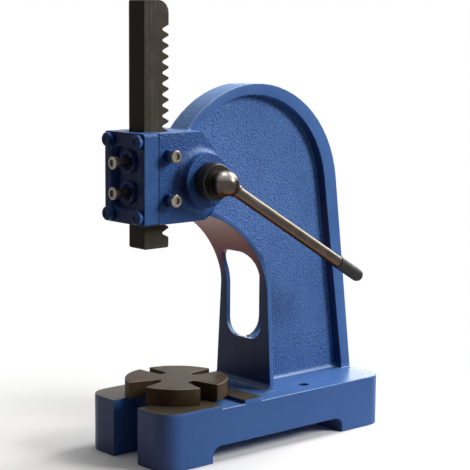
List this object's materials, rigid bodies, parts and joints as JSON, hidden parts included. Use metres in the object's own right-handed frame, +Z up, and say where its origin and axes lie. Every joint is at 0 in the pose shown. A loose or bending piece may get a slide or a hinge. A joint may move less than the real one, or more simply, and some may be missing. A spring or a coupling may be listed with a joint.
{
  "type": "arbor press",
  "caption": "Small bench arbor press: cast C-frame with a slotted foot, rack ram in adjustable gibs, geared pinion with a ball-hub lever and a turning slotted anvil plate.",
  "frame": {"origin": "middle of the press's bounding box, on the bench plane", "axes": "+Z up along the ram; -Y is the operator's side with the front cap; +X is the lever side"},
  "size_m": [0.1554, 0.3376, 0.4765],
  "materials": {
    "blue_paint": "textured blue enamel",
    "dark_steel": "dark oiled steel",
    "machined_iron": "machined cast iron",
    "bright_steel": "bright turned steel",
    "black_oxide": "black oxide",
    "black_grip": "black grip"
  },
  "bodies": {
    "frame": {"frame_casting": "blue_paint", "front_cap": "blue_paint", "cap_screw_upper_far": "blue_paint", "cap_screw_upper_near": "blue_paint", "cap_screw_lower_far": "blue_paint", "cap_screw_lower_near": "blue_paint", "front_gib": "bright_steel", "front_gib_screw_upper": "bright_steel", "front_gib_screw_lower": "bright_steel", "side_gib": "bright_steel", "side_gib_screw_upper": "bright_steel", "side_gib_screw_lower": "bright_steel", "side_lock_nut_upper": "blue_paint", "side_lock_nut_lower": "blue_paint", "bearing_flange": "black_oxide", "flange_screw_upper": "black_oxide", "flange_screw_front": "black_oxide", "flange_screw_lower": "black_oxide", "plate_pivot_pin": "bright_steel"},
    "ram": {"ram": "dark_steel"},
    "pinion": {"pinion": "dark_steel", "hub_collar": "black_oxide", "hub_grub_screw": "black_oxide", "hub_ball": "bright_steel", "lever_rod": "bright_steel", "lever_grip": "black_grip"},
    "plate": {"anvil_plate": "machined_iron"}
  },
  "joints": [
    {"name": "ram_slide", "type": "slide", "parent": "frame", "child": "ram", "axis": [0, 0, -1], "range_m": [-0.02, 0.143]},
    {"name": "pinion_turn", "type": "hinge", "parent": "frame", "child": "pinion", "pos_m": [-0.0094, -0.0802, 0.293], "axis": [1, 0, 0], "range_deg": [-40.93, 292.62]},
    {"name": "plate_turn", "type": "hinge", "parent": "frame", "child": "plate", "pos_m": [-0.0094, -0.0837, 0.0697], "axis": [0, 0, 1], "continuous": true}
  ],
  "couplings": [
    {"joint": "pinion_turn", "follows": "ram_slide", "rad_per_m": 35.714}
  ]
}
